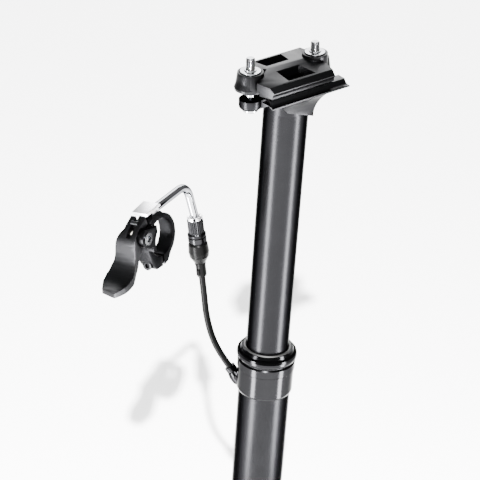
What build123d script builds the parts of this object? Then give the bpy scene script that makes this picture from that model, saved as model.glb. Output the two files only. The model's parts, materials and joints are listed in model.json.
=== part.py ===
from build123d import *
from math import cos, pi, radians, sin, tan
import os

# Telescopic (dropper) seatpost with its bar remote.  Millimetres.
# +Z runs up the post, the origin is on the axis at the bottom end of the outer tube,
# and +X is the long direction of the rail clamp, towards its raised rear end.

# ---------------------------------------------------------------- driving dimensions
post_r = 15.45          # outer tube, 30.9 mm seat tubes
tube_bore_r = 14.0
stanchion_r = 12.6
stanchion_bore_r = 11.0
run_gap = 0.05          # radial clearance of a running fit
body_gap = 0.3          # gap between bodies that only pass each other

tube_top = 261.0
collar_seat_r = 15.2     # the tube is turned down where the collar sits
fit_gap = 0.05          # radial gap of parts fixed inside others
collar_z = (239.5, 255.0)
stanchion_z = (160.0, 421.0)
rail_z = 440.0          # height of the saddle rails' centre line
head_tilt = 4.0         # degrees, rear of the clamp up

rail_r = 3.5
rail_y = 22.0           # rails are 44 mm apart
bolt_x = (-25.8, 18.0)  # clamp bolts, front and rear
stud_top = (17.3, 15.8)
bolt_r = 2.5            # M5
pivot_x = sum(bolt_x) / 2
pivot_h = 10.0          # the clamp tilts about this height above the rails
seat_r = 19.0           # rocking seat between the head and the cradle
ear_r = 6.3

port_angle = 128.0      # where the cable enters, degrees from +X
port_rise = 50.0        # degrees above the horizontal
port_r, port_z = 16.7, 242.5
port_reach = 8.5
housing_r = 2.0
wire_r = 0.5
wire_track_r = 13.3     # inner wire runs in the gap between tube and stanchion

bar_r = 11.1            # 22.2 mm handlebar
ring_r = 13.9
ring_half = 4.5
arm_near, arm_far = 8.3, 6.9   # reach of the two arms beside the lever
clamp_screw_y = -14.2
screw_r = 1.5
lever_pivot = (-18.0, 6.7)
lever_half = 4.8
wire_slope = 4.3        # degrees, the pull line of the remote's wire
wire_start = (0.0, 15.6)
yoke_seat = 12.9        # flat on top of the ring where the cable yoke sits
barrel_top = (40.4, -3.5)
barrel_lean = 3.3       # degrees

# Frame of the remote: z along the handlebar, y up, x towards the cable adjuster.
bar_dir = Vector(0.37683, -0.91391, 0.15085)
side_dir = Vector(0.92449, 0.38120, 0.0)
remote = Plane(origin=(-64.73, 27.56, 346.20), x_dir=side_dir, z_dir=bar_dir)
head_place = Location((0, 0, rail_z), (0, -head_tilt, 0))
port_place = Location((0, 0, 0), (0, 0, port_angle))


# ---------------------------------------------------------------- helpers
def rod(radius, z0, z1, x=0.0, y=0.0):
    """Upright cylinder from z0 to z1."""
    return Pos(x, y, (z0 + z1) / 2) * Cylinder(radius, z1 - z0)


def tube(outer, inner, z0, z1):
    return rod(outer, z0, z1) - rod(inner, z0 - 1, z1 + 1)


def block(x, y, z):
    """Box from three (low, high) pairs."""
    size = [high - low for low, high in (x, y, z)]
    centre = [(high + low) / 2 for low, high in (x, y, z)]
    return Pos(*centre) * Box(*size)


def prism(points, half, plane=Plane.XY):
    """Polygon pushed out by half on both sides of the plane."""
    face = make_face(Polyline(*[plane.from_local_coords(p) for p in points], close=True))
    return extrude(face, half, dir=plane.z_dir, both=True)


def cross_rod(radius, y0, y1, x, z):
    """Cylinder along Y."""
    return Pos(x, (y0 + y1) / 2, z) * Rot(90, 0, 0) * Cylinder(radius, y1 - y0)


def turned(points):
    """Solid of revolution about Z from (radius, height) points."""
    face = make_face(Polyline(*[(r, 0, z) for r, z in points], close=True))
    return revolve(face, Axis.Z)


def save(name, shape):
    shape.label = name
    export_step(shape, f"parts/{name}.step")
    print(name, round(shape.volume, 1))


def in_head(shape):
    return head_place * shape


def in_remote(shape):
    return remote.location * shape


def at_port(shape):
    return port_place * shape


# ---------------------------------------------------------------- outer post
def lower_tube():
    body = tube(post_r, tube_bore_r, 0, collar_z[0]) + tube(collar_seat_r, tube_bore_r, 235, tube_top)
    slot = at_port(block((12, 18), (-1.6, 1.6), (236, 248)))
    ring_groove = tube(tube_bore_r + 0.7, 12, 1.9, 3.3)
    body = body - slot - ring_groove
    for turn in key_turns:
        groove = rod(key_r + run_gap, 30, 204, x=key_track_r)
        body -= Rot(0, 0, turn) * groove
    return body


def port_axis_place():
    """Frame on the cable port, z outwards along the cable."""
    return Location((port_r, 0, port_z), (0, 90 - port_rise, 0))


def cable_port_collar():
    low, high = collar_z
    ring = turned([(collar_seat_r, low), (port_r - 0.7, low), (port_r, low + 1.4), (port_r, high),
                   (collar_seat_r, high)])
    boss = port_axis_place() * (rod(4.3, -9, 2.5) + Pos(0, 0, 3.7) * Cone(4.3, 3.6, 2.4))
    body = ring + (at_port(boss) & rod(40, low, 280))
    body -= rod(collar_seat_r, 225, 262)
    body -= at_port(port_axis_place() * rod(2.9, 1.7, 12))
    body -= at_port(port_axis_place() * rod(1.0, -14, 0))
    return body


def port_ferrule():
    shape = rod(2.9 - fit_gap, 1.7 + fit_gap, 5.6) + rod(3.4, 5.6 + fit_gap, port_reach) + rod(2.4, 5, 7)
    shape -= rod(0.9, 0, 12)
    return at_port(port_axis_place() * shape)


def collar_ring():
    return turned([(collar_seat_r, 255.1), (16.9, 255.1), (17.2, 255.5), (17.2, 260.2), (16.6, 260.9),
                   (collar_seat_r, 260.9)])


def seal_cap():
    outline = [(13.0, 261.2), (16.4, 261.2), (16.5, 261.8), (17.4, 262.6), (17.9, 263.8), (17.9, 265.2),
               (17.5, 266.4), (16.6, 267.0), (15.95, 267.3), (15.2, 269.0), (14.6, 269.0),
               (14.6, 262.4), (13.0, 262.4)]
    return turned(outline)


def foam_ring():
    return tube(14.5, stanchion_r + run_gap, 262.6, 265.0)


def wiper_seal():
    return turned([(stanchion_r + run_gap, 265.2), (14.55, 265.2), (14.55, 269.0), (14.0, 269.5),
                   (13.1, 269.5), (stanchion_r + run_gap, 268.6)])


def upper_bushing():
    body = tube(tube_bore_r, stanchion_r + run_gap, 215, 255)
    return body - at_port(block((10, 16), (-1.6, 1.6), (210, 260)))


def bottom_ring():
    body = tube(tube_bore_r + 0.65, 12.2, 2.0, 3.2)
    return body - block((0, 16), (-3.5, 3.5), (0, 5))


cap_top = 24.0
link_pivot_x = -9.0
link_half = 1.9
link_z = 10.0


def bottom_cap():
    body = rod(tube_bore_r - fit_gap, 3.4, cap_top)
    body -= block((-14.5, 14.5), (-link_half - 0.3, link_half + 0.3), (5.0, 16.5))
    body -= rod(4.0, cap_top - 4, cap_top + 1)
    body -= rod(2.0, 12, cap_top + 1)
    body -= cross_rod(1.5, -15, 15, link_pivot_x, link_z)
    body -= block((12.0, 15), (-1.8, 1.8), (3.3, cap_top + 1))
    return at_port(body)


def actuator_pivot():
    return at_port(cross_rod(1.5, -9.0, 9.0, link_pivot_x, link_z))


def actuator_lever():
    body = cross_rod(3.2, -link_half, link_half, link_pivot_x, link_z)
    body += block((link_pivot_x, 13.6), (-link_half, link_half), (link_z - 2.0, link_z + 1.6))
    body -= cross_rod(1.5 + run_gap, -5, 5, link_pivot_x, link_z)
    body -= block((12.4, 15), (-0.8, 0.8), (4, 16))
    return at_port(body)


def valve_pin():
    return rod(1.45, link_z + 1.9, 46)


def cartridge_rod():
    body = rod(5.0, cap_top + 0.0, 186) + rod(4.0, cap_top - 4, cap_top)
    body -= rod(1.5, 10, 60)
    return body


def rod_nut():
    body = Pos(0, 0, cap_top + 2.2) * extrude(RegularPolygon(8.0, 6), 2.0, both=True)
    return body - rod(5.0, 10, 40)


def piston():
    return turned([(5.0, 178), (8.2, 178), (8.45, 179), (8.45, 181), (8.0, 181), (8.0, 184), (8.45, 184),
                   (8.45, 186), (5.0, 186)])


def release_wire():
    return at_port(rod(wire_r, link_z - 2.5, 240, x=wire_track_r))


def wire_anchor():
    return at_port(block((12.4, 13.85), (-1.5, 1.5), (link_z - 5.0, link_z - 2.5)))


# ---------------------------------------------------------------- upper post
key_r = 1.25
key_track_r = 13.2
key_turns = [port_angle + 60, port_angle + 180, port_angle + 300]
key_z = (181.0, 199.0)


def stanchion():
    body = tube(stanchion_r, stanchion_bore_r, *stanchion_z)
    body -= tube(20, 12.0, 161.5, 178.5)
    for turn in key_turns:
        body -= Rot(0, 0, turn) * rod(key_r, *key_z, x=key_track_r)
    return body


def lower_bushing():
    body = tube(tube_bore_r - run_gap, 12.0 + fit_gap, 161.6, 178.4)
    return body - at_port(block((8, 16), (-1.7, 1.7), (150, 190)))


def anti_rotation_keys():
    keys = [Rot(0, 0, turn) * rod(key_r, *key_z, x=key_track_r) for turn in key_turns]
    return Compound(children=keys)


def cartridge_body():
    return tube(9.5, 8.5, 168, 392)


def cartridge_seal_head():
    body = rod(9.5, 162, 168) + rod(8.5, 168, 177)
    return body - rod(5.0 + run_gap, 150, 190)


def cartridge_cap():
    return rod(8.5, 383, 392) + rod(9.5, 392, 397) + rod(4.0, 397, 407)


ear_h = (-12.2, -6.2)   # heights of the head's bolt ears, from the rails' centre line
seat_cut_h = -6.4       # top of the head's core


def head():
    """Forged head, bonded into the stanchion, with a rocking seat and two bolt ears."""
    neck_z = stanchion_z[1]
    spigot = rod(stanchion_bore_r, 399, neck_z) - rod(4.05, 390, 408)
    neck = rod(stanchion_r, neck_z, 445)
    ears = Part() + block((-16.5, 11), (-9.6, 9.6), (ear_h[0], 2))
    for x in bolt_x:
        side = 1 if x > 0 else -1
        ears += fillet(rod(ear_r, *ear_h, x=x).edges().group_by(Axis.Z)[0], 2.2)
        ears += block(sorted((x, side * 8)), (-5.2, 5.2), (ear_h[0] + 0.8, ear_h[1]))
    body = spigot + neck + in_head(ears)
    body -= in_head(cross_rod(seat_r, -20, 20, pivot_x, pivot_h))
    body -= in_head(block((-45, 45), (-30, 30), (seat_cut_h, 30)))
    body -= in_head(block((9.4, 45), (-30, 30), (ear_h[1], 30)))
    body -= in_head(block((-45, -15.6), (-30, 30), (ear_h[1], 30)))
    for x in bolt_x:
        body -= in_head(rod(bolt_r + 0.05, -40, 5, x=x) + rod(5.0, -30, washer_h[1], x=x))
    return body


washer_h = (-10.4, -9.5)
bolt_head_h = (-13.8, -10.5)


def clamp_bolts():
    bolts = []
    for x, top in zip(bolt_x, stud_top):
        bolt = rod(bolt_r, bolt_head_h[1], top, x=x) + rod(4.2, *bolt_head_h, x=x)
        bolt -= Pos(x, 0, bolt_head_h[0] - 0.1) * extrude(RegularPolygon(2.3, 6), 2.3)
        bolts.append(in_head(bolt))
    return Compound(children=bolts)


def bolt_washers():
    rings = []
    for x in bolt_x:
        ring = rod(4.8, washer_h[0], washer_h[1] - 0.05, x=x) - rod(bolt_r + 0.05, -30, -5, x=x)
        rings.append(in_head(ring))
    return Compound(children=rings)


# ---------------------------------------------------------------- rail clamp
cradle_half = 23.2
cradle_near = (-28.0, 24.0)   # ends of the rail bed on the rider's left, -Y
cradle_far = (-14.0, 26.0)    # and on the rider's right, which is set further back
skirt_h = (-14.5, -20.5)       # lower edge of the flanks, front and rear
skirt_x = (-10.5, 6.5)         # and its ends along the clamp
neck_gap_y = 13.1              # half-width left free for the neck


def rails(radius=rail_r):
    shape = Part()
    for y in (-rail_y, rail_y):
        shape += Pos(0, y, 0) * Rot(0, 90, 0) * Cylinder(radius, 90)
    return shape


def skirt(side):
    """Flared flank of the cradle, from the rail bed down to the neck."""
    front_x, rear_x = cradle_far if side > 0 else cradle_near
    high = -3.0
    front_low, rear_low = skirt_x
    rear = ThreePointArc((rear_x, 0, high), (rear_low + 0.36 * (rear_x - rear_low), 0, -9.5),
                         (rear_low, 0, skirt_h[1]))
    base = Line((rear_low, 0, skirt_h[1]), (front_low, 0, skirt_h[0]))
    front = ThreePointArc((front_low, 0, skirt_h[0]), (front_low + 0.4 * (front_x - front_low), 0, -8.0),
                          (front_x, 0, high))
    top = Line((front_x, 0, high), (rear_x, 0, high))
    panel = extrude(make_face([rear, base, front, top]), cradle_half - neck_gap_y, dir=(0, 1, 0))
    panel = Pos(0, neck_gap_y, 0) * panel
    return panel if side > 0 else mirror(panel, Plane.XZ)


def lower_cradle():
    outline = [(cradle_near[0], -cradle_half), (cradle_near[1], -cradle_half), (cradle_far[1], cradle_half),
               (cradle_far[0], cradle_half)]
    slab = Pos(0, 0, -2.8) * prism(outline, 1.8)
    slab -= block((-40, -16.6), (-12.9, 12.9), (-10, 5))
    slab -= block((10.0, 40), (-12.9, 12.9), (-10, 5))
    saddle = cross_rod(seat_r - body_gap, -12.4, 12.4, pivot_x, pivot_h)
    saddle &= block((-16.6, 10.0), (-12.4, 12.4), (-12, -1.0))
    body = slab + skirt(1) + skirt(-1)
    for side in (-1, 1):
        body -= Pos(0, side * 25.45, -16.0) * Rot(0, 90, 0) * Cylinder(12.0, 90)
    return in_head(body + saddle - rails())


plate_top = 7.8         # height of the plate's ridge
plate_edge = 5.6


def boss(x, radius, low, high, bulge):
    """Barrel-shaped boss that holds a bolt's round nut."""
    mid = (low * 2 + high) / 3
    outline = [(0, low), (radius - 1.2, low), (radius + bulge * 0.8, low + 1.2), (radius + bulge, mid),
               (radius, high), (0, high)]
    return Pos(x, 0, 0) * turned(outline)


def upper_clamp():
    section = [(-19.6, -0.5), (-11.0, -0.5), (-11.0, 1.8), (11.0, 1.8), (11.0, -0.5), (19.6, -0.5),
               (19.6, 3.0), (16.8, plate_edge), (0, plate_top), (-16.8, plate_edge), (-19.6, 3.0)]
    across = Plane(origin=(0, 0, 0), x_dir=(0, 1, 0), z_dir=(1, 0, 0))
    plate = prism(section, 40, across)
    outline = [(-24.5, -20), (-28.5, -9.5), (-22.5, -5.6), (-15.0, 0), (-17.5, 5.6), (-14.0, 20),
               (21.0, 20), (20.5, 8), (18.0, -8), (16.5, -20)]
    plate &= prism(outline, 20)
    for side in (-1, 1):
        window = [(-11.8, side * 4.3), (3.4, side * 4.3), (6.4, side * 15.4), (-11.8, side * 15.4)]
        plate -= prism(window, 12)
    front = boss(bolt_x[0], 7.1, -2.0, 9.3, 1.2) + boss(bolt_x[0] - 1.5, 5.8, -1.6, 6.5, 1.9)
    front += block((-25, -11), (-4.6, 4.6), (0.4, 5.0))
    rear = boss(bolt_x[1], 7.1, -2.8, 9.3, 0.2) + boss(bolt_x[1] + 3.5, 5.2, -2.4, 6.0, 0.8)
    body = plate + front + rear
    for x in bolt_x:
        body -= rod(4.0, -20, 20, x=x)
        body -= Pos(x, 0, pivot_h) * Sphere(5.1)
        body -= rod(6.1, nut_disc_h[0] - 0.65, 20, x=x)
    return in_head(body - rails())


nut_disc_h = (8.9, 10.0)


def clamp_nut(x):
    low, high = nut_disc_h
    body = rod(5.6, low, high, x=x) + rod(3.4, high, high + 0.8, x=x)
    dome = (Pos(x, 0, pivot_h) * Sphere(4.9)) & block((x - 6, x + 6), (-6, 6), (6.4, low + 0.3))
    body = body + dome
    return in_head(body - rod(bolt_r + run_gap, -5, 20, x=x))


# ---------------------------------------------------------------- cable
lean_dir = side_dir * sin(radians(barrel_lean)) - remote.y_dir * cos(radians(barrel_lean))
barrel_origin = remote.from_local_coords(Vector(*barrel_top, 0))
adjuster = Plane(origin=barrel_origin, x_dir=bar_dir, z_dir=lean_dir)  # z runs down the cable
ferrule_reach = 39.1
noodle_r = 2.45


def port_point(reach):
    """Point on the port's axis, reach past the collar's surface."""
    rise = radians(port_rise)
    radius = port_r + reach * cos(rise)
    turn = radians(port_angle)
    return Vector(radius * cos(turn), radius * sin(turn), port_z + reach * sin(rise))


def cable_points():
    """Route of the outer cable, from the adjuster's ferrule down to the port."""
    top = barrel_origin + lean_dir * ferrule_reach
    return [top, top + lean_dir * 11.0, Vector(-21.2, 33.9, 279.5), Vector(-19.9, 29.2, 266.6),
            port_point(port_reach + 10.0), port_point(port_reach)]


def arc_radii(points):
    """Largest tangent arc that each corner of a route leaves room for."""
    radii = []
    for before, corner, after in zip(points, points[1:], points[2:]):
        first, second = corner - before, after - corner
        half_turn = radians(first.get_angle(second)) / 2
        radii.append(0.45 * min(first.length, second.length) / tan(half_turn))
    return radii


def cable_housing():
    points = cable_points()
    radii = arc_radii(points)
    path = FilletPolyline(*points, radius=radii)
    start = Plane(origin=points[0], z_dir=points[1] - points[0])
    body = sweep(start * Circle(housing_r), path=path)
    print("cable length", round(path.length, 1), "radii", [round(r) for r in radii],
          "volume ratio", round(body.volume / (path.length * pi * housing_r ** 2), 4))
    return body


def in_adjuster(shape):
    return adjuster.location * shape


def housing_ferrule():
    body = rod(3.1, 30.4, 38.2) + rod(3.4, 30.2, 31.2) + rod(2.8, 38.2, ferrule_reach)
    body += block((-1.0, 1.0), (2.6, 4.0), (34.0, 37.4))
    return in_adjuster(body - rod(1.0, 20, 50))


def adjuster_body():
    outline = [(2.4, 17.0), (5.3, 17.0), (5.8, 18.0), (6.2, 23.0), (5.7, 26.0), (3.7, 29.4), (3.3, 30.2),
               (2.4, 30.2)]
    return in_adjuster(turned(outline))


def adjuster_ring():
    return in_adjuster(tube(5.5, 4.0, 13.4, 16.0) + tube(4.8, 4.0, 16.0, 16.9))


def adjuster_barrel():
    """Knurled sleeve that turns to set the cable's tension."""
    body = turned([(2.9, 0), (4.5, 0), (4.8, 0.4), (4.8, 10.6), (5.5, 11.2), (5.5, 12.8), (5.2, 13.1),
                   (3.9, 13.1), (3.9, 16.6), (2.9, 16.6)])
    for step in range(6):
        body -= Rot(0, 0, step * 60) * block((2.0, 6.0), (-0.8, 0.8), (-1, 1.8))
    return in_adjuster(body)


def noodle():
    """Bent steel guide tube between the adjuster and the remote."""
    slope = radians(wire_slope)
    left = (wire_start[0] - 3.0 * cos(slope), wire_start[1] - 3.0 * sin(slope))
    corner_x = 34.8
    corner = (corner_x, wire_start[1] + corner_x * tan(slope))
    end = (barrel_top[0] + 12.0 * sin(radians(barrel_lean)), barrel_top[1] - 12.0)
    points = [remote.from_local_coords(Vector(x, y, 0)) for x, y in (left, corner, barrel_top, end)]
    path = FilletPolyline(*points, radius=[9.5, 25.0])
    start = Plane(origin=points[0], z_dir=points[1] - points[0])
    outer = sweep(start * Circle(noodle_r), path=path)
    inner = sweep(start * Circle(0.9), path=path)
    return outer - inner


# ---------------------------------------------------------------- remote
pull = Plane(origin=(*wire_start, 0), x_dir=(cos(radians(wire_slope)), sin(radians(wire_slope)), 0),
             z_dir=(0, 0, 1))  # x runs along the wire towards the noodle
pivot_on_pull = pull.to_local_coords(Vector(*lever_pivot, 0))
wire_arm = -pivot_on_pull.Y
lever_swing = 22.0
nipple_x = pivot_on_pull.X + wire_arm * sin(radians(lever_swing / 2))
nipple_r = 1.3


def along(radius, x0, x1):
    """Cylinder on the wire's line."""
    return pull.location * (Pos((x0 + x1) / 2, 0, 0) * Rot(0, 90, 0) * Cylinder(radius, x1 - x0))


def across_ears(radius, x0, x1):
    """Cylinder on the clamp screw's line."""
    return Pos((x0 + x1) / 2, clamp_screw_y, 0) * Rot(0, 90, 0) * Cylinder(radius, x1 - x0)


def bar_clamp():
    """Split ring for the handlebar, with two arms that hold the lever between them."""
    ring = rod(ring_r, -ring_half, ring_half)
    wide = rod(ring_r, -arm_far, arm_near) & block((-20, -8.5), (-3, 13), (-9, 9))
    arm = prism([(-9.5, -1.5), (-9.0, 10.5), (-16.5, 11.6), (-20.5, 2.4)], arm_near)
    arm += rod(5.2, 0, arm_near, *lever_pivot)
    arm -= block((-40, -8), (-20, 30), (-20, -arm_far))
    arm += rod(3.9, -arm_far, 0, *lever_pivot)
    arm -= block((-40, -8), (-20, 30), (-5.2, 5.2))
    post = prism([(-10.0, 8.0), (-9.8, 12.2), (-5.0, 14.9), (1.8, 15.2), (6.0, 10.0)], ring_half)
    ears = prism([(-12.6, -5.0), (-11.4, -11.0), (-7.0, -17.0), (-1.0, -17.0), (-1.0, -9.0)], ring_half)
    ears += prism([(1.0, -9.0), (1.0, -17.0), (4.4, -16.0), (9.5, -9.6)], ring_half)
    body = ring + wide + arm + post + ears
    body -= rod(bar_r, -20, 20)
    body -= block((-4.7, 12), (yoke_seat, 30), (-3.5, 3.5))
    body -= block((-1.0, 1.0), (-30, 0), (-20, 20))
    body -= across_ears(screw_r + run_gap, -30, 30)
    body -= across_ears(3.0, -20, -7.4)
    body -= across_ears(3.0, 4.4, 20)
    body -= rod(2.0, -20, 20, *lever_pivot)
    body -= rod(3.55, 6.9, 20, *lever_pivot)
    body -= along(0.9, -25, 30)
    return in_remote(body)


def bar_clamp_screw():
    body = across_ears(screw_r, -7.5, 6.0) + across_ears(2.75, -10.4, -7.4)
    socket = Rot(0, 90, 0) * extrude(RegularPolygon(1.4, 6), 1.6, both=True)
    return in_remote(body - Pos(-10.4, clamp_screw_y, 0) * socket)


def bar_clamp_nut():
    return in_remote(across_ears(2.75, 4.5, 6.8) - across_ears(screw_r, 0, 9))


def pivot_screw():
    body = rod(1.95, -7.6, 7.0, *lever_pivot) + rod(3.5, 6.95, 8.9, *lever_pivot)
    body -= Pos(*lever_pivot, 7.2) * extrude(RegularPolygon(2.0, 6), 2.0)
    return in_remote(body)


def pivot_bush():
    return in_remote(rod(3.0, -5.15, 5.15, *lever_pivot) - rod(2.0, -9, 9, *lever_pivot))


def return_spring():
    """Torsion spring beside the lever's hub."""
    turns = 2.2
    coil = Helix(pitch=0.85, height=0.85 * turns, radius=3.75)
    start = Plane(origin=coil @ 0, z_dir=coil % 0)
    body = sweep(start * Circle(0.33), path=coil, is_frenet=True)
    return in_remote(Pos(*lever_pivot, -4.6) * body)


def lever():
    """S-shaped thumb lever with a forked top for the wire's nipple."""
    front = Spline((-13.6, 16.9), (-19.2, 13.6), (-24.7, 8.6), (-26.2, 2.4), (-26.9, -3.5), (-29.9, -9.4),
                   (-35.8, -12.8), (-42.0, -14.0), (-48.3, -14.2))
    tip = Line((-48.3, -14.2), (-47.8, -16.9))
    back = Spline((-47.8, -16.9), (-41.0, -17.2), (-34.0, -16.2), (-27.5, -12.2), (-23.4, -5.0),
                  (-21.6, 2.4), (-17.6, 8.6), (-12.3, 12.6))
    top = Line((-12.3, 12.6), (-13.6, 16.9))
    blade = extrude(make_face([front, tip, back, top]), 14, both=True)
    plan = [(-48.3, 4.3), (-40.0, 6.0), (-32.0, 6.2), (-27.0, lever_half), (0, lever_half),
            (0, -lever_half), (-21.5, -lever_half), (-24.8, -7.2), (-28.6, -10.6), (-32.5, -11.6),
            (-37.5, -10.6), (-44.8, -6.2)]
    blade &= extrude(make_face(Polyline(*[(x, 0, z) for x, z in plan], close=True)), 40, both=True)
    hub = rod(4.5, -lever_half, lever_half, *lever_pivot)
    web = [(-23.6, 8.3), (-25.2, 1.0), (-24.3, -5.0), (-15.6, 2.9), (-14.0, 8.8), (-15.2, 13.5)]
    hub += prism(web, lever_half)
    body = blade + hub
    body -= rod(3.05, -9, 9, *lever_pivot)
    body -= rod(4.35, -9, -2.3, *lever_pivot)
    slot = block((nipple_x - 12, 30), (-1.9, 9), (-1.5, 1.5))
    slot += block((nipple_x - 12, nipple_x), (-5.4, 0), (-1.5, 1.5))
    slot += Pos(nipple_x, 0, 0) * Rot(0, 0, -lever_swing) * block((-1, 14), (-0.9, 9), (-1.5, 1.5))
    slot += rod(nipple_r + 0.35, -2.6, 2.6, x=nipple_x)
    return in_remote(body - pull.location * slot)


def wire_nipple():
    body = pull.location * rod(nipple_r, -2.2, 2.2, x=nipple_x)
    return in_remote(body - along(wire_r + fit_gap, nipple_x - 5, nipple_x + 5))


def remote_wire():
    return in_remote(along(wire_r, nipple_x - 1.2, 22.0))


def noodle_yoke():
    plate = prism([(-12.4, 17.1), (-12.2, 18.6), (-0.6, 20.6), (1.0, 19.6), (0.8, 18.6)], 5.0)
    saddle = prism([(-4.6, yoke_seat), (-4.6, 18.6), (0.8, 19.4), (1.6, yoke_seat)], 3.4)
    body = plate + saddle
    body -= along(noodle_r + fit_gap, -3.2, 9)
    body -= along(0.9, -20, 9)
    return in_remote(body)


pieces = {
    "lower_tube": lower_tube, "cable_port_collar": cable_port_collar, "port_ferrule": port_ferrule,
    "collar_ring": collar_ring, "seal_cap": seal_cap, "foam_ring": foam_ring, "wiper_seal": wiper_seal,
    "upper_bushing": upper_bushing, "bottom_ring": bottom_ring, "bottom_cap": bottom_cap,
    "actuator_pivot": actuator_pivot, "actuator_lever": actuator_lever, "valve_pin": valve_pin,
    "cartridge_rod": cartridge_rod, "rod_nut": rod_nut, "piston": piston, "release_wire": release_wire,
    "wire_anchor": wire_anchor, "stanchion": stanchion, "lower_bushing": lower_bushing,
    "anti_rotation_keys": anti_rotation_keys, "cartridge_body": cartridge_body,
    "cartridge_seal_head": cartridge_seal_head, "cartridge_cap": cartridge_cap, "head": head,
    "clamp_bolts": clamp_bolts, "bolt_washers": bolt_washers, "lower_cradle": lower_cradle,
    "upper_clamp": upper_clamp, "cable_housing": cable_housing, "housing_ferrule": housing_ferrule,
    "adjuster_body": adjuster_body, "adjuster_ring": adjuster_ring, "adjuster_barrel": adjuster_barrel,
    "noodle": noodle, "noodle_yoke": noodle_yoke, "bar_clamp": bar_clamp,
    "bar_clamp_screw": bar_clamp_screw, "bar_clamp_nut": bar_clamp_nut, "pivot_screw": pivot_screw,
    "pivot_bush": pivot_bush, "return_spring": return_spring, "lever": lever,
    "wire_nipple": wire_nipple, "remote_wire": remote_wire,
}

os.makedirs("parts", exist_ok=True)
for name, make in pieces.items():
    save(name, make())
for name, x in zip(("front_nut", "rear_nut"), bolt_x):
    save(name, clamp_nut(x))
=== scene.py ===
import json
import math
import bpy
import bmesh
from mathutils import Matrix, Vector


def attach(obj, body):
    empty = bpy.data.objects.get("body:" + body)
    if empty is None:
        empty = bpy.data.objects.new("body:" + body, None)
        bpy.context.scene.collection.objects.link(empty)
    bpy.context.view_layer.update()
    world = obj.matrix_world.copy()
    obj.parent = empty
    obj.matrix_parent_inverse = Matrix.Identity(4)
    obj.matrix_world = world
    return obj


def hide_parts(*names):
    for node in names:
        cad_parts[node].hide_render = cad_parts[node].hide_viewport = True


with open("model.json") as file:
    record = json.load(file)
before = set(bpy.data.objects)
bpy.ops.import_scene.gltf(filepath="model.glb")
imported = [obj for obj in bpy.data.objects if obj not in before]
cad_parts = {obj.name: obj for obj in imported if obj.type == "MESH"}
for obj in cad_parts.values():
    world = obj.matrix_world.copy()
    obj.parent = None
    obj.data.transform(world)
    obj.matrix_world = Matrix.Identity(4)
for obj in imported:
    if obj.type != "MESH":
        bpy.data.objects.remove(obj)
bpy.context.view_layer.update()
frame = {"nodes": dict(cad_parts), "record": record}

nodes = frame["nodes"]
record = frame["record"]
slotOf = {part["node"]: part["material_slot"] for part in record["subparts"]}
bodyOf = {node: body for body, members in record["behaviour"]["bodies"].items() for node in members}
mm = 0.001
print("frame loaded,", len(nodes), "nodes")


def showObject(name, data):
    shown = bpy.data.objects.new(name, data)
    bpy.context.scene.collection.objects.link(shown)
    return shown


cameraSet = {"place": (-0.5203, -0.6311, 0.7671), "turn": (62.235, -3.403, -36.291),
             "lens": 121.1, "sensor": 36, "nearest": 0.01, "farthest": 30}


def addCamera():
    data = bpy.data.cameras.new("camera")
    data.lens = cameraSet["lens"]
    data.sensor_width = cameraSet["sensor"]
    data.clip_start = cameraSet["nearest"]
    data.clip_end = cameraSet["farthest"]
    camera = showObject("camera", data)
    camera.location = cameraSet["place"]
    camera.rotation_euler = [math.radians(a) for a in cameraSet["turn"]]
    bpy.context.scene.camera = camera


# the route runs from the adjuster's ferrule down to the port on the collar
cableSet = {
    "width": 0.004,
    "length": 0.061,
    "points": [(-0.022854, 0.037887, 0.304152), (-0.021637, 0.036597, 0.293296), (-0.0212, 0.0339, 0.2795),
               (-0.0199, 0.0292, 0.2666), (-0.01761, 0.02254, 0.25667), (-0.01365, 0.01747, 0.24901)],
}


def addCable(material):
    curve = bpy.data.curves.new("cable_outer", "CURVE")
    curve.dimensions = "3D"
    spline = curve.splines.new("NURBS")
    spline.points.add(len(cableSet["points"]) - 1)
    for point, place in zip(spline.points, cableSet["points"]):
        point.co = (*place, 1)
    spline.order_u = 3
    spline.use_endpoint_u = True
    spline.resolution_u = 16
    curve.bevel_depth = cableSet["width"] / 2
    curve.bevel_resolution = 6
    curve.use_fill_caps = True
    curve.materials.append(material)
    cable = showObject("cable_outer", curve)
    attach(cable, "lower_post")
    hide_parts("cable_housing")


addCamera()
print("camera set")


def fromHex(text):
    # sRGB hex to linear, the only place where colours are converted
    values = [int(text[i:i + 2], 16) / 255 for i in (1, 3, 5)]
    linear = [v / 12.92 if v <= 0.04045 else ((v + 0.055) / 1.055) ** 2.4 for v in values]
    return (*linear, 1.0)


def shaded(colour, amount):
    return tuple(c * amount for c in colour[:3]) + (1,)


def addNode(tree, kind, links=None, **inputs):
    # one node with its socket values and what feeds it
    node = tree.nodes.new(kind)
    for key, value in inputs.items():
        node.inputs[key.replace("_", " ")].default_value = value
    for key, source in (links or {}).items():
        tree.links.new(source, node.inputs[key])
    return node


def newMaterial(name):
    mat = bpy.data.materials.new(name)
    mat.use_nodes = True
    tree = mat.node_tree
    coords = addNode(tree, "ShaderNodeTexCoord").outputs["Object"]
    return mat, tree, tree.nodes["Principled BSDF"], coords


def setShader(shader, **values):
    for key, value in values.items():
        shader.inputs[key.replace("_", " ")].default_value = value


# sizes in mm; the grain of blasting, moulding or rolling is really about 0.05 mm, and is drawn
# five or six times as coarse so that it shows
surfaceSet = {
    "anodised": {"cloudsPerMetre": 90, "cloudFrom": 0.3, "cloudTo": 0.7, "relief": 0.1, "coatRough": 0.1},
    "steel": {"smoothest": 0.6, "roughest": 1.4, "relief": 0.1, "bump": 0.04},
    "moulded": {"dark": 0.85, "light": 1.15, "relief": 0.1},
}


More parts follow.
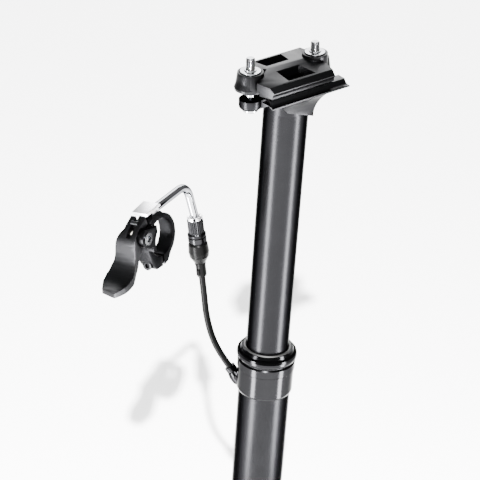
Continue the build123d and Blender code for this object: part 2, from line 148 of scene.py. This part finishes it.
def anodised(name, colour, rough, speckle=0.03, bump=0.05, grain=0.35, edge=0.35, coat=0.0):
    # aluminium blasted, then anodised black: a dark metal sheen, faintly cloudy where the dye took
    # unevenly, over a fine blasted grain; a low edge keeps the rims of round parts dark
    own = surfaceSet["anodised"]
    mat, tree, shader, coords = newMaterial(name)
    base = fromHex(colour)
    cloud = addNode(tree, "ShaderNodeTexNoise", {"Vector": coords}, Scale=own["cloudsPerMetre"], Detail=3,
                    Roughness=0.5)
    tint = addNode(tree, "ShaderNodeValToRGB", {"Fac": cloud.outputs["Fac"]})
    low, high = tint.color_ramp.elements
    low.position, high.position = own["cloudFrom"], own["cloudTo"]
    low.color, high.color = shaded(base, 1 - speckle * 3), shaded(base, 1 + speckle * 3)
    fine = addNode(tree, "ShaderNodeTexNoise", {"Vector": coords}, Scale=1 / (grain * mm), Detail=2)
    spread = addNode(tree, "ShaderNodeMapRange", {"Value": fine.outputs["Fac"]}, From_Min=0.3, From_Max=0.7,
                     To_Min=rough - speckle, To_Max=rough + speckle)
    relief = addNode(tree, "ShaderNodeBump", {"Height": fine.outputs["Fac"]}, Strength=bump,
                     Distance=own["relief"] * mm)
    tree.links.new(tint.outputs["Color"], shader.inputs["Base Color"])
    tree.links.new(spread.outputs["Result"], shader.inputs["Roughness"])
    tree.links.new(relief.outputs["Normal"], shader.inputs["Normal"])
    setShader(shader, Metallic=1.0, Specular_Tint=(edge, edge, edge, 1), Coat_Weight=coat,
              Coat_Roughness=own["coatRough"])
    return mat


def brightMetal(name, colour, rough, grain=0.25, edge=0.5):
    # bare or plated metal: mirror-like, broken up by the faint unevenness of its polish or plating
    own = surfaceSet["steel"]
    mat, tree, shader, coords = newMaterial(name)
    fine = addNode(tree, "ShaderNodeTexNoise", {"Vector": coords}, Scale=1 / (grain * mm), Detail=3)
    spread = addNode(tree, "ShaderNodeMapRange", {"Value": fine.outputs["Fac"]},
                     To_Min=rough * own["smoothest"], To_Max=rough * own["roughest"])
    relief = addNode(tree, "ShaderNodeBump", {"Height": fine.outputs["Fac"]}, Strength=own["bump"],
                     Distance=own["relief"] * mm)
    tree.links.new(spread.outputs["Result"], shader.inputs["Roughness"])
    tree.links.new(relief.outputs["Normal"], shader.inputs["Normal"])
    setShader(shader, Base_Color=fromHex(colour), Metallic=1.0, Specular_Tint=(edge, edge, edge, 1))
    return mat


def moulded(name, colour, rough, grain=0.3, bump=0.15, shine=0.3):
    # moulded plastic or rubber: its colour goes right through, under the fine texture of the mould
    own = surfaceSet["moulded"]
    mat, tree, shader, coords = newMaterial(name)
    base = fromHex(colour)
    fine = addNode(tree, "ShaderNodeTexNoise", {"Vector": coords}, Scale=1 / (grain * mm), Detail=2)
    tint = addNode(tree, "ShaderNodeValToRGB", {"Fac": fine.outputs["Fac"]})
    low, high = tint.color_ramp.elements
    low.color, high.color = shaded(base, own["dark"]), shaded(base, own["light"])
    relief = addNode(tree, "ShaderNodeBump", {"Height": fine.outputs["Fac"]}, Strength=bump,
                     Distance=own["relief"] * mm)
    tree.links.new(tint.outputs["Color"], shader.inputs["Base Color"])
    tree.links.new(relief.outputs["Normal"], shader.inputs["Normal"])
    setShader(shader, Roughness=rough, Specular_IOR_Level=shine)
    return mat


finishes = {
    # drawn tube, anodised: satin black with soft upright streaks of light
    "post_black": anodised("anodisedBlackTube", "#131314", 0.29, speckle=0.02),
    # hard anodised and ground: a little tighter and glossier than the outer tube
    "stanchion_black": anodised("hardAnodisedStanchion", "#121213", 0.27, speckle=0.015, grain=0.25),
    # turned and polished before anodising: glossy, with thin bright rings at its edges
    "collar_black": anodised("glossAnodisedCollar", "#121213", 0.16, speckle=0.015, edge=0.5, coat=0.04),
    # forged and blasted: greyer at a low angle, so its flat faces read apart
    "clamp_black": anodised("forgedBlackAluminium", "#171718", 0.32, speckle=0.03, bump=0.12, edge=0.62),
    # small machined parts of the remote: plain black, with crisp edges
    "remote_black": anodised("anodisedRemote", "#141415", 0.3, speckle=0.02, edge=0.5),
    # tumbled lever: satin dark grey that rolls from light to dark along its curve
    "lever_grey": anodised("satinGreyLever", "#1c1c1d", 0.36, speckle=0.02, bump=0.1, edge=0.62),
    # zinc plated screws and nuts: bright and cool, slightly hazy
    "zinc_steel": brightMetal("zincPlatedSteel", "#8a8b8d", 0.14, edge=0.5),
    # polished tube and rod: sharp white and black stripes
    "polished_steel": brightMetal("polishedSteel", "#86878a", 0.08, edge=0.08),
    # brushed plate: nearly white, with no clear reflections
    "silver_plate": brightMetal("brushedSilverPlate", "#d8d8da", 0.32, edge=0.6),
    # extruded PVC sheath: deep black with one narrow highlight
    "cable_black": moulded("cableSheath", "#020202", 0.3, shine=0.03),
    # glass-filled nylon: deep black, with a dull highlight
    "plastic_black": moulded("glassFilledNylon", "#020202", 0.3, shine=0.03),
    # nitrile rubber lip: matt black
    "rubber_black": moulded("nitrileRubber", "#050505", 0.55),
    # oiled felt-like foam: coarse open cells, brownish
    "foam": moulded("oiledFoam", "#242320", 0.85, grain=0.8, bump=0.8),
    # natural acetal: pale warm grey, waxy
    "bushing_plastic": moulded("acetalBushing", "#8d8b84", 0.4),
    # turned brass: yellow, lightly tarnished
    "brass": brightMetal("turnedBrass", "#a8813f", 0.3),
    # machined aluminium: pale grey, soft reflections
    "machined_aluminium": brightMetal("machinedAluminium", "#a9aaac", 0.33),
    # drawn spring wire: dark oily grey
    "spring_steel": brightMetal("drawnSteel", "#2b2c2d", 0.35),
    # black oxide: near black, with small sharp highlights
    "black_steel": anodised("blackOxideSteel", "#1a1a1b", 0.2, speckle=0.02, edge=0.5),
}

for nodeName, slotName in slotOf.items():
    nodes[nodeName].data.materials.clear()
    nodes[nodeName].data.materials.append(finishes[slotName])
addCable(finishes["cable_black"])
print("materials on", len(slotOf), "nodes, cable made")


def addPiece(name, mesh, body, slotName, stands=(), place=None):
    if place is not None:
        mesh.transform(place)
    piece = showObject(name, mesh)
    if not mesh.materials:
        mesh.materials.append(finishes[slotName])
    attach(piece, body)
    if stands:
        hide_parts(*stands)
    return piece


def spun(rows, steps, radiusAt=None):
    # closed solid of revolution from (radius, height) rows; radiusAt may change a point's radius
    verts, faces = [], []
    for i, (radius, height) in enumerate(rows):
        for k in range(steps):
            angle = 2 * math.pi * k / steps
            r = radiusAt(i, radius, height, angle) if radiusAt else radius
            verts.append((r * math.cos(angle) * mm, r * math.sin(angle) * mm, height * mm))
    for i in range(len(rows)):
        this, other = i * steps, (i + 1) % len(rows) * steps
        for k in range(steps):
            follow = (k + 1) % steps
            faces.append((this + k, this + follow, other + follow, other + k))
    return verts, faces


def asMesh(name, verts, faces, smooth):
    # smooth is the sharpest angle, in degrees, that is still shaded as round
    mesh = bpy.data.meshes.new(name)
    mesh.from_pydata(verts, [], faces)
    bm = bmesh.new()
    bm.from_mesh(mesh)
    bmesh.ops.remove_doubles(bm, verts=bm.verts, dist=1e-7)
    bmesh.ops.recalc_face_normals(bm, faces=bm.faces)
    bm.to_mesh(mesh)
    bm.free()
    mesh.shade_smooth()
    mesh.set_sharp_from_angle(angle=math.radians(smooth))
    return mesh


# the head's own frame: on the post's axis at the rails' height, tipped with the clamp
headSet = {"height": 0.440, "tip": -4}
headFrame = (Matrix.Translation((0, 0, headSet["height"]))
             @ Matrix.Rotation(math.radians(headSet["tip"]), 4, "Y"))

# M5 clamp bolts, mm in the head's frame
studSet = {"x": (-25.8, 18.0), "top": (17.3, 15.8), "radius": 2.5, "play": 0.02, "pitch": 0.8, "depth": 0.42,
           "threadFrom": 3.0, "rowsPerTurn": 8, "steps": 40, "tipCone": 0.7, "tipNarrower": 0.62,
           "head": (-13.8, -10.5), "headRadius": 4.2, "socket": 2.2, "socketDepth": 2.0}


def studRows(top):
    # outline of one bolt from the floor of its socket to its tip, and the rows that carry the thread
    own = studSet
    low, high = own["head"]
    shank = own["radius"] - own["play"]
    rows = [(0.001, low + own["socketDepth"]), (own["socket"], low + own["socketDepth"]),
            (own["socket"], low + 0.2), (own["socket"] + 0.3, low), (own["headRadius"] - 0.5, low),
            (own["headRadius"], low + 0.5), (own["headRadius"], high - 0.2), (own["headRadius"] - 0.2, high),
            (shank, high), (shank, own["threadFrom"])]
    firstThread = len(rows)
    height = own["threadFrom"]
    while height < top - own["tipCone"]:
        rows.append((own["radius"], height))
        height += own["pitch"] / own["rowsPerTurn"]
    lastThread = len(rows)
    rows += [(own["radius"] - 0.1, top - 0.65), (own["radius"] - own["tipNarrower"], top), (0.001, top)]
    return rows, firstThread, lastThread


def addStuds():
    verts, faces = [], []
    for x, top in zip(studSet["x"], studSet["top"]):
        rows, firstThread, lastThread = studRows(top)

        def thread(i, r, height, angle):
            # a V groove that climbs one pitch a turn
            if not firstThread <= i < lastThread:
                return r
            phase = (height / studSet["pitch"] - angle / (2 * math.pi)) % 1
            return r - 0.01 - studSet["depth"] * abs(2 * phase - 1)

        bolt, boltFaces = spun(rows, studSet["steps"], thread)
        base = len(verts)
        verts += [(vx + x * mm, vy, vz) for vx, vy, vz in bolt]
        faces += [tuple(base + i for i in face) for face in boltFaces]
    addPiece("clampStuds", asMesh("clampStuds", verts, faces, 30), "upper_post", "zinc_steel",
             ["clamp_bolts"], headFrame)


# adjuster barrel, mm: z runs down from its lip, along the cable
sleeveSet = {
    "origin": (-27.180, 42.472, 342.740), "across": (0.37683, -0.91391, 0.15085),
    "down": (0.11062, -0.11729, -0.98691), "bore": 2.95, "grip": 4.79, "gripRows": 16,
    "ribs": 26, "ribDepth": 0.28, "ribFrom": 2.3, "ribTo": 10.2, "stepsPerRib": 8,
    "shoulder": [(4.79, 10.5), (5.45, 11.2), (5.5, 11.5), (5.5, 12.6), (5.2, 13.05), (3.9, 13.1), (3.9, 16.6)],
    "teeth": 6, "notch": 21, "cutsPerTooth": 8,
    "tooth": [(2.95, 0.15), (3.1, 0.0), (4.15, 0.0), (4.5, 0.35), (4.6, 1.0), (4.62, 1.92), (2.95, 1.92)],
}


def sleeveFrame():
    down = Vector(sleeveSet["down"]).normalized()
    across = Vector(sleeveSet["across"])
    across = (across - across.dot(down) * down).normalized()
    turn = Matrix((across, down.cross(across), down)).transposed().to_4x4()
    return Matrix.Translation(Vector(sleeveSet["origin"]) * mm) @ turn


def addSleeve():
    # fine ribs round the grip, above a plain shoulder
    own = sleeveSet
    rows = [(own["bore"], 1.9), (4.45, 1.9), (4.7, 2.2)]
    rows += [(own["grip"], 2.6 + 0.5 * i) for i in range(own["gripRows"])]
    rows += own["shoulder"] + [(own["bore"], own["shoulder"][-1][1])]

    def ribbed(i, r, height, angle):
        if not own["ribFrom"] < height < own["ribTo"]:
            return r
        return r - own["ribDepth"] * (0.5 - 0.5 * math.cos(own["ribs"] * angle)) ** 2

    mesh = asMesh("adjusterSleeve", *spun(rows, own["ribs"] * own["stepsPerRib"], ribbed), 50)
    addPiece("adjusterSleeve", mesh, "adjuster_barrel", "remote_black", ["adjuster_barrel"], sleeveFrame())


def addLip():
    # bright lip of the barrel, cut into separate teeth
    own = sleeveSet
    verts, faces = [], []
    step, half = 2 * math.pi / own["teeth"], math.radians(own["notch"] / 2)
    count, cuts = len(own["tooth"]), own["cutsPerTooth"]
    for tooth in range(own["teeth"]):
        first, last = tooth * step + half, (tooth + 1) * step - half
        base = len(verts)
        for k in range(cuts + 1):
            angle = first + (last - first) * k / cuts
            verts += [(r * math.cos(angle) * mm, r * math.sin(angle) * mm, z * mm) for r, z in own["tooth"]]
        for k in range(cuts):
            this, other = base + k * count, base + (k + 1) * count
            for i in range(count):
                follow = (i + 1) % count
                faces.append((this + i, this + follow, other + follow, other + i))
        faces.append(tuple(base + i for i in range(count)))
        faces.append(tuple(base + cuts * count + i for i in range(count)))
    addPiece("adjusterLip", asMesh("adjusterLip", verts, faces, 30), "adjuster_barrel", "silver_plate", (),
             sleeveFrame())


addStuds()
addSleeve()
addLip()
print("studs and adjuster made")


# width in mm of the rounding that each part's edges get
edgeSet = {"upper_clamp": 0.45, "lower_cradle": 0.3, "head": 0.35, "lever": 0.8, "bar_clamp": 0.3,
           "noodle_yoke": 0.15, "front_nut": 0.2, "rear_nut": 0.2, "bar_clamp_screw": 0.15}
edgeAngles = {"flat": 0.6, "hard": 28, "smooth": 35}  # degrees


def softEdges(node, width):
    # a copy of the solid with its hard edges rounded, so that they catch the light
    mesh = nodes[node].data.copy()
    mesh.name = node + "_soft"
    bm = bmesh.new()
    bm.from_mesh(mesh)
    bmesh.ops.remove_doubles(bm, verts=bm.verts, dist=2e-6)
    flat, hardest = math.radians(edgeAngles["flat"]), math.radians(edgeAngles["hard"])
    bmesh.ops.dissolve_limit(bm, angle_limit=flat, verts=bm.verts, edges=bm.edges)
    hard = [e for e in bm.edges if len(e.link_faces) == 2 and e.calc_face_angle() > hardest]
    bmesh.ops.bevel(bm, geom=hard, offset=width * mm, offset_type="OFFSET", segments=2, profile=0.6,
                    affect="EDGES", clamp_overlap=True)
    bm.to_mesh(mesh)
    bm.free()
    if mesh.has_custom_normals:
        mesh.normals_split_custom_set([(0, 0, 0)] * len(mesh.loops))
    mesh.shade_smooth()
    mesh.set_sharp_from_angle(angle=math.radians(edgeAngles["smooth"]))
    addPiece(node + "_soft", mesh, bodyOf[node], slotOf[node], [node], nodes[node].matrix_world)


for nodeName, edgeWidth in edgeSet.items():
    softEdges(nodeName, edgeWidth)
print("edges softened on", len(edgeSet), "nodes")


# metres, watts and degrees; each lamp's turn is counted from the camera's side of the post
studioSet = {
    "floorSize": 10.0, "floorDrop": 0.0005, "floorColour": "#fbfbfb", "sky": 0.45, "cameraSide": -129.5,
    "aim": (0, 0, 0.3),
    "lamps": (("key", 0, 1.75, 1.87, (0.04, 0.04), 950),
              ("leftStrip", -45, 0.36, 0.17, (0.08, 0.4), 18),
              ("rightStrip", 66, 0.36, 0.17, (0.08, 0.4), 18),
              ("behind", 180, 2.2, 1.5, (1.6, 1.6), 130)),
}


def addFloor():
    # matt white paper: no shine, only soft shadows
    half, low = studioSet["floorSize"] / 2, -studioSet["floorDrop"]
    mesh = bpy.data.meshes.new("studioFloor")
    corners = [(-half, -half, low), (half, -half, low), (half, half, low), (-half, half, low)]
    mesh.from_pydata(corners, [], [(0, 1, 2, 3)])
    mat, tree, shader, coords = newMaterial("whitePaper")
    setShader(shader, Base_Color=fromHex(studioSet["floorColour"]), Roughness=0.9, Specular_IOR_Level=0.1)
    mesh.materials.append(mat)
    showObject("studioFloor", mesh)


def addLamp(name, turn, reach, height, size, power):
    data = bpy.data.lights.new(name, "AREA")
    data.shape = "RECTANGLE"
    data.size, data.size_y = size
    data.energy = power
    angle = math.radians(studioSet["cameraSide"] + turn)
    place = Vector((reach * math.cos(angle), reach * math.sin(angle), height))
    lamp = showObject(name, data)
    lamp.location = place
    lamp.rotation_euler = (Vector(studioSet["aim"]) - place).to_track_quat("-Z", "Y").to_euler()
    lamp.visible_camera = False


def addSky():
    world = bpy.data.worlds.new("studio")
    bpy.context.scene.world = world
    world.use_nodes = True
    back = world.node_tree.nodes["Background"]
    back.inputs["Color"].default_value = (1, 1, 1, 1)
    back.inputs["Strength"].default_value = studioSet["sky"]


addFloor()
addSky()
for lamp in studioSet["lamps"]:
    addLamp(*lamp)
print("studio lit")
